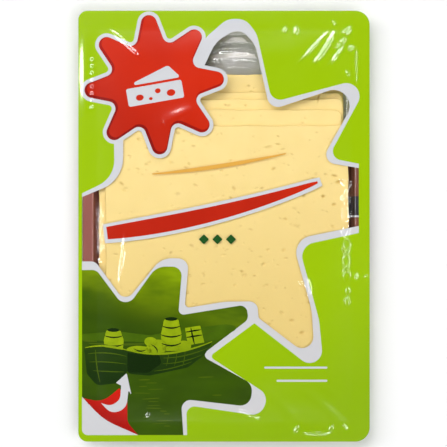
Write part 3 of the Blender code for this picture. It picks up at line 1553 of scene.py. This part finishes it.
@dataclass
class ClearTray:
    """The thermoformed tray: a lofted shell with flange, rounded mouth, stepped wall and floor."""

    half_width: float
    half_length: float
    profile: TrayProfile
    corner_left: float = 4.5
    corner_right: float = 7.0
    cavity_corner: float = 12.0
    least_corner: float = 6.0
    segments: int = 14
    finish: ClearFinish = ClearFinish("clear_tray_plastic", Swatch(241, 240, 237), 1.3)

    def build(self) -> bpy.types.Object:
        """Builds the tray.

        Returns:
            The tray's object.
        """
        bm = bmesh.new()
        p = self.profile
        rings = [(0.0, p.flange_top, self.corner_left, self.corner_right)]
        for inset, height in p.points():
            radius = max(self.cavity_corner - 0.5 * inset, self.least_corner)
            rings.append((p.flange_width + inset, height, radius, radius))
        outer = None
        for number, ring in enumerate(rings):
            edges = self._ring(bm, *ring, keep=number == len(rings) - 1)
            if outer:
                bmesh.ops.bridge_loops(bm, edges=outer + edges)
            outer = edges
        bmesh.ops.recalc_face_normals(bm, faces=bm.faces)
        floor = min(bm.faces, key=lambda f: f.calc_center_median().length)
        if floor.normal.z < 0.0:
            bmesh.ops.reverse_faces(bm, faces=bm.faces)
        bmesh.ops.scale(bm, vec=(MM, MM, MM), verts=bm.verts)
        tray = finish_object(bm, "tray_shell", self.finish, Slot.TRAY, "tray")
        tray.data.set_sharp_from_angle(angle=math.radians(50.0))
        wall = tray.modifiers.new("Wall", "SOLIDIFY")
        wall.thickness = p.wall * MM
        wall.offset = -1.0
        wall.use_even_offset = True
        tray.visible_diffuse = False
        return tray

    def _ring(
        self, bm: bmesh.types.BMesh, inset: float, height: float, left: float, right: float, keep: bool
    ) -> list:
        """Adds one rounded rectangle.

        Args:
            bm: the mesh.
            inset: how far it lies inside the pack's edge.
            height: its height.
            left: its corner radius on the left.
            right: its corner radius on the right.
            keep: whether it keeps its face.

        Returns:
            Its edges.
        """
        w, h = self.half_width - inset, self.half_length - inset
        corners = bmesh.ops.create_grid(bm, x_segments=1, y_segments=1, size=1.0)["verts"]
        bmesh.ops.scale(bm, vec=(w, h, 1.0), verts=corners)
        bmesh.ops.translate(bm, vec=(0.0, 0.0, height), verts=corners)
        face = corners[0].link_faces[0]
        for radius, side in ((left, -1.0), (right, 1.0)):
            ends = [v for v in face.verts if v.co.x * side > 0.999 * w and abs(v.co.y) > 0.999 * h]
            done = bmesh.ops.bevel(
                bm, geom=ends, offset=radius, offset_type="OFFSET", segments=self.segments,
                profile=0.5, affect="VERTICES", material=-1,
            )
            face = done["verts"][0].link_faces[0]
        edges = list(face.edges)
        if not keep:
            bmesh.ops.delete(bm, geom=[face], context="FACES_ONLY")
        return edges


@dataclass
class BackPrint:
    """Bands printed on the inside of the tray's web, from flange to flange under the slices."""

    half_width: float
    profile: TrayProfile
    gap: float = 0.06
    flange_inset: float = 2.2

    def build(self) -> None:
        """Builds the bands."""
        self._band("back_band", Ink.MAROON, -24.0, 31.0)
        self._band("back_field", Ink.NIGHT, 5.2, 14.6, 0.03, True)
        self._band("back_line", Ink.PALE, 4.4, 5.2, 0.03, True)

    def _band(
        self, name: str, ink: Ink, low: float, high: float, lift: float = 0.0, only_right: bool = False
    ) -> None:
        """Builds one band across the tray.

        Args:
            name: the piece's name.
            ink: its ink.
            low: its lower edge on the pack.
            high: its upper edge.
            lift: how far it lies above the tray's own print.
            only_right: whether it ends at the pack's middle.
        """
        p = self.profile
        half = [(-self.half_width + self.flange_inset, p.flange_top + 0.3 * self.gap)]
        rise, mouth = self.gap + lift, -self.half_width + p.flange_width
        for inset, height in p.points():
            half.append((mouth + inset + rise, height + rise))
        right = [(-x, z) for x, z in half[::-1]]
        line = ([(0.0, half[-1][1])] if only_right else half) + right
        bm = swept_strip([(x, low, z) for x, z in line], (0.0, high - low, 0.0))
        bmesh.ops.scale(bm, vec=(MM, MM, MM), verts=bm.verts)
        finish_object(bm, name, ink, Slot.TRAY)


@dataclass
class EndRib:
    """A smoky bulge moulded across the tray's upper end, with a rib before it; its left end is darkened by
    painted shade of the tray's corner.
    """

    half_width: float = 56.0
    profile: tuple = (
        (77.6, 0.7), (78.6, 0.9), (79.6, 1.5), (80.6, 1.9), (81.6, 1.7), (82.4, 1.5), (83.2, 2.0),
        (84.2, 3.2),
        (85.2, 4.2), (86.4, 4.7), (87.6, 4.5), (88.6, 3.8), (89.6, 3.5), (90.8, 4.2), (92.2, 5.6),
        (93.8, 6.6),
        (95.4, 7.0),
    )
    tint: Swatch = Swatch(250, 246, 248)
    # The dark tone of the left end is painted shade where the tray's corner shades it.
    left_painted_shade: Swatch = Swatch(112, 104, 110)

    def build(self) -> None:
        """Builds the bulge by sweeping its profile across the tray."""
        line = [(-self.half_width, y, z) for y, z in self.profile]
        bm = swept_strip(line, (2.0 * self.half_width, 0.0, 0.0), steps=24)
        for vert in bm.verts:
            vert.co.y += 0.5 * math.sin(0.21 * vert.co.x) + 0.2 * math.sin(0.7 * vert.co.x)
            vert.co.z += 0.25 * math.sin(0.33 * vert.co.x + 0.5 * vert.co.y)
        bmesh.ops.scale(bm, vec=(MM, MM, MM), verts=bm.verts)
        smoky = ClearFinish("smoky_plastic", self.tint, 1.1, left_painted_shade=self.left_painted_shade)
        rib = finish_object(bm, "end_rib", smoky, Slot.TRAY)
        rib.visible_shadow = False
        rib.visible_diffuse = False


# ---------------------------------------------------------------- cheese


@dataclass(frozen=True)
class Eye:
    """A small hollow in a slice: a torn slit or an eye."""

    x: float
    y: float
    length: float
    width: float
    degrees: float
    depth: float
    # How much the hollow's colour darkens: painted shade in the hollow, and for some marks brownish specks.
    stain_and_shade: float = 0.5

    def hollow(self, x: np.ndarray, y: np.ndarray) -> np.ndarray:
        """Works out how deep the hollow is at each place.

        Args:
            x: the places' x in millimetres.
            y: their y in millimetres.

        Returns:
            The depths, as shares of the full depth.
        """
        turn = math.radians(self.degrees)
        u = (x - self.x) * math.cos(turn) + (y - self.y) * math.sin(turn)
        v = (y - self.y) * math.cos(turn) - (x - self.x) * math.sin(turn)
        return np.exp(-(((u / (0.5 * self.length)) ** 2 + (v / (0.5 * self.width)) ** 2) ** 1.6))


@dataclass
class CheeseStack:
    """Shingled slices, each a step lower on the pack than the one under it."""

    slice_length: float = 140.0
    slice_width: float = 118.5
    thickness: float = 1.85
    corner: float = 3.0
    edge_bevel: float = 0.35
    places: tuple = (
        (74.7, -0.4, 0.10), (65.8, -1.5, -0.25), (62.2, -0.6, 0.20), (57.0, -1.8, -0.15), (48.9, 1.6, 0.30)
    )
    floor: float = 0.85
    grid: float = 3.0
    top_eyes: int = 320
    under_eyes: int = 18
    # The last number of each hollow, here and in slit, is how much it darkens: painted shade in the hollow,
    # partly brownish specks.
    torn: tuple = (
        Eye(53.8, 24.6, 2.6, 0.9, -12.0, 0.7, 0.7), Eye(56.2, 21.8, 3.4, 1.3, 18.0, 0.8, 0.8),
        Eye(53.6, 10.6, 2.0, 1.2, 10.0, 0.6, 0.7), Eye(48.4, 14.6, 1.6, 1.3, 0.0, 0.6, 0.8),
        Eye(21.5, 38.6, 3.6, 0.8, 8.0, 0.5, 0.5), Eye(26.2, 40.0, 2.4, 0.7, -6.0, 0.5, 0.6),
        Eye(28.6, 37.6, 2.2, 0.7, 12.0, 0.4, 0.5), Eye(-53.4, 30.4, 1.6, 0.8, 30.0, 0.4, 0.5),
        Eye(-18.6, 28.6, 2.4, 1.0, -20.0, 0.4, 0.4), Eye(38.0, -52.0, 2.2, 1.3, 10.0, 0.5, 0.6),
        Eye(33.0, -46.0, 2.0, 1.2, -10.0, 0.5, 0.5),
    )
    slit: Eye = Eye(46.3, 63.1, 4.8, 0.6, 83.0, 0.7, 0.95)

    def build(self) -> None:
        """Builds the slices from the bottom up."""
        for number, place in enumerate(self.places, start=1):
            self._slice(number, place)

    def _eyes(self, number: int) -> list[Eye]:
        """Returns a slice's hollows, from a seeded draw.

        Args:
            number: the slice, counted from the bottom.

        Returns:
            The hollows, in places on the pack.
        """
        draw = random.Random(40 + number)
        top = self.places[number - 1][0]
        is_upmost = number == len(self.places)
        low = -66.0 if is_upmost else top - 14.0
        eyes = list(self.torn) if is_upmost else [self.slit]
        for _ in range(self.top_eyes if is_upmost else self.under_eyes):
            x, y = draw.uniform(-56.0, 58.0), draw.uniform(low, top - 2.0)
            length = 0.7 + 1.7 * draw.random() ** 1.8
            width = length * draw.uniform(0.3, 0.7)
            # Darkening of the eye: painted shade in the hollow, and some brownish specks.
            stain_and_shade = 0.2 + 0.5 * draw.random() ** 2.2
            eyes.append(Eye(x, y, length, width, draw.gauss(0.0, 22.0), draw.uniform(0.15, 0.5), stain_and_shade))
        return eyes

    def _sag(self, number: int, y: np.ndarray) -> np.ndarray:
        """Returns the height of a slice's underside above the tray's floor.

        Args:
            number: the slice, counted from the bottom.
            y: places along the pack.

        Returns:
            The heights: the slices under it carry it, and it sags where they end.
        """
        z = np.zeros_like(y)
        for top, _, _ in self.places[: number - 1]:
            under = np.clip((y - (top - self.slice_length) + 11.0) / 10.0, 0.0, 1.0)
            z = z + (self.thickness + 0.05) * under * under * (3.0 - 2.0 * under)
        return z

    def _slice(self, number: int, place: tuple[float, float, float]) -> bpy.types.Object:
        """Builds one slice.

        Args:
            number: the slice, counted from the bottom.
            place: its top edge's place on the pack, its sideways shift and its turn.

        Returns:
            The slice.
        """
        top, shift, degrees = place
        bm = bmesh.new()
        w, h = 0.5 * self.slice_width, 0.5 * self.slice_length
        outline = rounded_box(-w, -h, w, h, self.corner)
        faces = [bm.faces.new([bm.verts.new((x, y, 0.0)) for x, y in outline])]
        for axis, half in ((0, w), (1, h)):
            reach = self.grid * math.ceil(half / self.grid)
            faces = cut_into_strips(bm, faces, axis, -reach, reach, self.grid)
        eyes = self._eyes(number)
        turn = math.radians(degrees)
        middle = (shift, top - h)
        for _ in range(3):
            self._refine(bm, eyes, turn, middle)
        raised = bmesh.ops.extrude_face_region(bm, geom=list(bm.faces))["geom"]
        upper = {item for item in raised if isinstance(item, bmesh.types.BMVert)}
        bmesh.ops.translate(bm, vec=(0.0, 0.0, self.thickness), verts=list(upper))
        bmesh.ops.recalc_face_normals(bm, faces=bm.faces)
        rims = [e for e in bm.edges if len(e.link_faces) == 2 and e.calc_face_angle(0.0) > 1.0]
        bmesh.ops.bevel(
            bm, geom=rims, offset=self.edge_bevel, offset_type="OFFSET", segments=3, profile=0.5,
            affect="EDGES", material=-1,
        )
        share = self._shape(bm, number, eyes, turn, middle)
        piece = finish_object(bm, f"slice_{number}", CheeseFinish(), Slot.CHEESE, f"cheese_slice_{number}")
        mask = piece.data.attributes.new(CheeseFinish.eye_attribute, "FLOAT", "POINT")
        mask.data.foreach_set("value", share.astype(np.float32))
        return piece

    @staticmethod
    def _on_pack(bm: bmesh.types.BMesh, turn: float, middle: Point) -> np.ndarray:
        """Returns where each vertex lies on the pack.

        Args:
            bm: the slice, still at its own middle.
            turn: its turn in radians.
            middle: where its middle lies.

        Returns:
            The places, one row for each vertex.
        """
        co = np.array([vert.co[:] for vert in bm.verts])
        x = co[:, 0] * math.cos(turn) - co[:, 1] * math.sin(turn) + middle[0]
        y = co[:, 0] * math.sin(turn) + co[:, 1] * math.cos(turn) + middle[1]
        return np.stack([x, y, co[:, 2]], axis=1)

    def _refine(self, bm: bmesh.types.BMesh, eyes: list[Eye], turn: float, middle: Point) -> None:
        """Halves the edges of the faces that an eye touches.

        Args:
            bm: the slice's mesh.
            eyes: the slice's eyes.
            turn: the slice's turn on the pack.
            middle: the slice's middle on the pack.
        """
        bm.verts.index_update()
        places = self._on_pack(bm, turn, middle)
        spots = np.array([(eye.x, eye.y, 0.6 * eye.length) for eye in eyes])
        chosen = set()
        for face in bm.faces:
            corners = places[[v.index for v in face.verts]]
            centre = corners.mean(axis=0)
            reach = 0.5 * np.ptp(corners[:, :2], axis=0).max()
            gap = np.hypot(spots[:, 0] - centre[0], spots[:, 1] - centre[1]) - spots[:, 2]
            if gap.min() < reach:
                chosen.update(face.edges)
        bmesh.ops.subdivide_edges(bm, edges=list(chosen), cuts=1, use_grid_fill=True)

    def _shape(
        self, bm: bmesh.types.BMesh, number: int, eyes: list[Eye], turn: float, middle: Point
    ) -> np.ndarray:
        """Lays a slice on the pack: edges uneven, surface wavy, eyes sunk, ends sagging.

        Args:
            bm: the slice, still flat and at its own middle.
            number: the slice, counted from the bottom.
            eyes: its hollows.
            turn: its turn in radians.
            middle: where its middle lies.

        Returns:
            How much each vertex is darkened in an eye, from 0 to 1: painted shade in the hollows, and
            brownish specks in some.
        """
        co = self._on_pack(bm, turn, middle)
        x, y, z = co[:, 0], co[:, 1], co[:, 2]
        edge = 0.16 * np.sin(0.33 * y + 1.3 * number) + 0.1 * np.sin(1.1 * y + number)
        rim = 0.16 * np.sin(0.27 * x + 2.1 * number) + 0.08 * np.sin(0.9 * x + number)
        new_x = x + edge * np.clip((np.abs(x - middle[0]) - 50.0) / 9.0, 0.0, 1.0)
        new_y = y + rim * np.clip((np.abs(y - middle[1]) - 60.0) / 10.0, 0.0, 1.0)
        wave = 0.1 * np.sin(0.07 * x + 0.5) * np.sin(0.06 * y + 0.2) + 0.05 * np.sin(0.15 * x - 0.11 * y)
        new_z = z + self.floor + self._sag(number, y) + wave
        share = np.zeros_like(z)
        on_top = z > 0.5 * self.thickness
        for eye in eyes:
            hollow = eye.hollow(x, y) * on_top
            new_z = new_z - eye.depth * hollow
            # Darkens the hollow's colour: painted shade, partly brownish specks.
            share = np.maximum(share, eye.stain_and_shade * hollow)
        for vert, place in zip(bm.verts, np.stack([new_x, new_y, new_z], axis=1)):
            vert.co = place * MM
        return np.clip(share, 0.0, 1.0)


# ---------------------------------------------------------------- studio


class Seen(Enum):
    """What a lamp lights: everything, only glossy reflections, or only matte shading."""

    ALL = "all"
    GLOSS = "gloss"
    MATTE = "matte"


@dataclass(frozen=True)
class Softbox:
    """A rectangular white lamp that looks at the pack; its size is across, then along its own slope."""

    name: str
    place: tuple[float, float, float]
    size: tuple[float, float]
    power: float
    seen_by: Seen = Seen.ALL

    def build(self) -> None:
        """Adds the lamp."""
        data = bpy.data.lights.new(self.name, "AREA")
        data.shape = "RECTANGLE"
        data.size, data.size_y = self.size
        data.energy = self.power
        lamp = bpy.data.objects.new(self.name, data)
        lamp.location = self.place
        lamp.rotation_mode = "QUATERNION"
        lamp.rotation_quaternion = (-Vector(self.place)).to_track_quat("-Z", "Y")
        lamp.visible_diffuse = self.seen_by is not Seen.GLOSS
        lamp.visible_glossy = self.seen_by is not Seen.MATTE
        bpy.context.scene.collection.objects.link(lamp)


@dataclass
class Studio:
    """Pale floor, soft lamps and the camera that looks straight down; places and sizes are metres."""

    lamps: tuple = (
        Softbox("softbox_over", (-0.4, 0.55, 1.45), (0.9, 0.9), 11.0, Seen.MATTE),
        Softbox("softbox_above", (0.45, -0.45, 1.45), (0.9, 0.9), 8.0, Seen.MATTE),
        Softbox("softbox_left", (-0.95, 0.25, 0.95), (0.7, 0.7), 4.8),
        Softbox("softbox_right", (0.95, -0.1, 0.95), (0.7, 0.7), 2.6),
        Softbox("softbox_top", (0.1, 1.05, 0.95), (0.7, 0.7), 3.4),
        Softbox("softbox_near", (-0.1, -1.05, 0.95), (0.7, 0.7), 2.4),
        Softbox("strip_left", (-0.46, 0.0, 1.0), (0.9, 0.12), 10.0, Seen.GLOSS),
        Softbox("strip_right", (0.46, 0.0, 1.0), (0.8, 0.06), 5.0, Seen.GLOSS),
        Softbox("strip_top", (0.0, 0.46, 1.0), (0.8, 0.1), 8.0, Seen.GLOSS),
        Softbox("strip_near", (0.0, -0.46, 1.0), (0.8, 0.06), 5.0, Seen.GLOSS),
    )
    world_strength: float = 0.05
    lens: float = 120.0
    sensor: float = 36.0
    view_height: float = 0.2174
    aim: Point = (-0.25 * MM, 1.3 * MM)
    floor_reach: float = 2.5
    floor_gap: float = 0.0002

    def build(self) -> None:
        """Builds the stage."""
        self._world()
        self._floor()
        for lamp in self.lamps:
            lamp.build()
        self._camera()
        bpy.context.scene.view_settings.view_transform = "Standard"

    def _world(self) -> None:
        """Lights the room faintly and evenly, behind a white backdrop."""
        world = bpy.data.worlds.new("studio_world")
        world.use_nodes = True
        nodes, links = world.node_tree.nodes, world.node_tree.links
        room = nodes["Background"]
        room.inputs["Color"].default_value = (1.0, 1.0, 1.0, 1.0)
        room.inputs["Strength"].default_value = self.world_strength
        backdrop = nodes.new("ShaderNodeBackground")
        backdrop.inputs["Color"].default_value = (1.0, 1.0, 1.0, 1.0)
        rays = nodes.new("ShaderNodeLightPath")
        mix = nodes.new("ShaderNodeMixShader")
        links.new(rays.outputs["Is Camera Ray"], mix.inputs["Fac"])
        links.new(room.outputs["Background"], mix.inputs[1])
        links.new(backdrop.outputs["Background"], mix.inputs[2])
        links.new(mix.outputs["Shader"], nodes["World Output"].inputs["Surface"])
        bpy.context.scene.world = world

    def _floor(self) -> None:
        """Lays the floor just under the pack."""
        bm = bmesh.new()
        bmesh.ops.create_grid(bm, x_segments=8, y_segments=8, size=self.floor_reach)
        bmesh.ops.translate(bm, vec=(0.0, 0.0, -self.floor_gap), verts=bm.verts)
        mesh = bpy.data.meshes.new("studio_floor")
        bm.to_mesh(mesh)
        bm.free()
        mesh.materials.append(SHELF.get(FloorFinish()))
        floor = bpy.data.objects.new("studio_floor", mesh)
        bpy.context.scene.collection.objects.link(floor)

    def _camera(self) -> None:
        """Hangs the camera over the pack."""
        data = bpy.data.cameras.new("camera")
        data.lens = self.lens
        data.sensor_width = self.sensor
        data.clip_start = 0.01
        camera = bpy.data.objects.new("camera", data)
        distance = self.view_height * self.lens / self.sensor
        camera.location = (*self.aim, distance + CAD_BOX[1].z)
        bpy.context.scene.collection.objects.link(camera)
        bpy.context.scene.camera = camera


# ---------------------------------------------------------------- the whole


def film_marks() -> list[Crease | Pucker | Dimples]:
    """Lists the creases, puckers and bumps of the film, in the places where they catch the light.

    Returns:
        The marks.
    """
    return [
        Pucker(x=59.2, low=-28.0, high=24.0, pitch=7.4, swing=1.9, width=0.6, height=0.3),
        Pucker(x=59.8, low=-39.5, high=-29.0, pitch=5.2, swing=1.1, width=0.5, height=0.26),
        Pucker(x=-60.4, low=-17.0, high=13.0, pitch=4.1, swing=0.9, width=0.55, height=0.2),
        Crease((55.8, 22.6), (58.6, 20.8), 0.8, 0.32),
        Crease((56.8, 8.6), (58.8, 6.2), 0.7, 0.28),
        Crease((57.0, -10.8), (60.6, -12.6), 0.5, 0.2),
        Crease((57.4, -21.6), (60.8, -19.8), 0.5, 0.2),
        Dimples(x=-64.4, low=58.0, high=81.0, pitch=3.3, width=0.7, height=0.34),
        Crease((-55.2, 95.2), (-40.4, 81.8), 0.55, 0.2),
        Crease((-50.8, -28.4), (-48.0, -3.6), 0.85, 0.3),
        Crease((35.6, -26.2), (39.8, -29.4), 0.5, 0.27),
        Crease((39.6, -24.8), (41.4, -34.0), 1.6, 0.46),
        Crease((-61.2, 7.2), (-58.2, 5.2), 1.0, 0.36),
        Crease((-61.0, 2.0), (-59.0, 0.8), 0.5, 0.2),
        Crease((-61.2, -4.2), (-58.4, -6.0), 1.0, 0.36),
        Crease((-60.6, -10.8), (-57.8, -9.2), 0.9, 0.34),
        Crease((-62.2, -13.2), (-60.6, -12.0), 0.7, 0.28),
        Crease((-60.8, -17.6), (-59.2, -16.4), 0.7, 0.28),
        Crease((36.4, 79.6), (50.4, 94.2), 0.55, 0.15),
        Crease((43.2, 78.6), (53.4, 93.8), 0.8, 0.3, bow=-0.7),
        Crease((51.2, 78.2), (58.0, 88.2), 0.55, 0.16),
        Crease((53.4, 85.6), (58.0, 90.8), 0.4, 0.12),
        Crease((29.0, 94.2), (30.2, 97.0), 0.7, 0.26),
        Crease((34.9, 93.2), (35.2, 97.2), 0.8, 0.3),
        Crease((58.6, 93.6), (61.6, 96.6), 0.8, 0.3),
        Crease((60.6, 86.0), (63.4, 87.0), 0.7, 0.3),
        Crease((57.4, 88.6), (58.6, 91.6), 0.5, 0.22),
        Crease((59.8, 74.0), (60.6, 74.8), 0.9, 0.34),
        Crease((64.3, 69.0), (64.3, 87.0), 0.35, 0.12),
        Crease((53.3, 98.0), (53.7, 99.4), 0.5, 0.18),
        Crease((7.4, -88.8), (12.8, -90.2), 0.9, 0.3),
        Crease((10.4, -90.2), (16.8, -92.6), 0.5, 0.24),
        Crease((34.6, -100.0), (36.0, -97.0), 0.7, 0.28),
        Crease((39.0, -100.2), (51.0, -100.4), 0.6, 0.24, bow=-0.5),
        Crease((51.2, -100.0), (52.6, -96.6), 0.6, 0.24),
        Crease((57.4, -96.0), (60.2, -98.6), 0.5, 0.18),
        Crease((64.1, -22.6), (64.1, -26.2), 0.4, 0.16),
        Crease((68.6, -24.0), (69.6, -24.3), 0.5, 0.18),
        Crease((35.1, -77.9), (59.1, -97.5), 2.4, -0.14, bow=1.2),
        Crease((40.0, -70.0), (62.0, -88.0), 2.2, -0.12, bow=-0.8),
        Crease((18.0, -78.0), (37.0, -97.0), 2.6, -0.13, bow=0.8),
        Crease((-2.8, 83.9), (12.8, 82.7), 1.0, 0.36),
        Crease((-6.4, 81.0), (12.4, 80.6), 0.5, 0.22),
        Crease((-30.0, 50.5), (-15.0, 57.0), 3.2, 0.5),
        Crease((-67.4, 54.0), (-67.4, 97.0), 2.6, 0.4),
        Crease((-37.5, -92.4), (-36.5, -90.7), 0.55, 0.22),
    ]


def main() -> None:
    """Builds the pack and its studio."""
    logging.basicConfig(level=logging.INFO, format="%(name)s %(message)s")
    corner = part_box("tray")[1] / MM
    relief = FilmRelief(corner.x, corner.y, corner.z + 0.1, marks=film_marks())
    press = FilmPress(relief)
    layout = PrintLayout()
    profile = TrayProfile(corner.z)
    ClearTray(corner.x, corner.y, profile).build()
    BackPrint(corner.x, profile).build()
    EndRib().build()
    CheeseStack().build()
    PrintedLid(press, layout).build()
    HarbourPicture(press).build()
    OpeningTab(press, layout).build()
    TitleBanner(press).build()
    Badge(press).build()
    Studio().build()


if __name__ == "__main__":
    main()
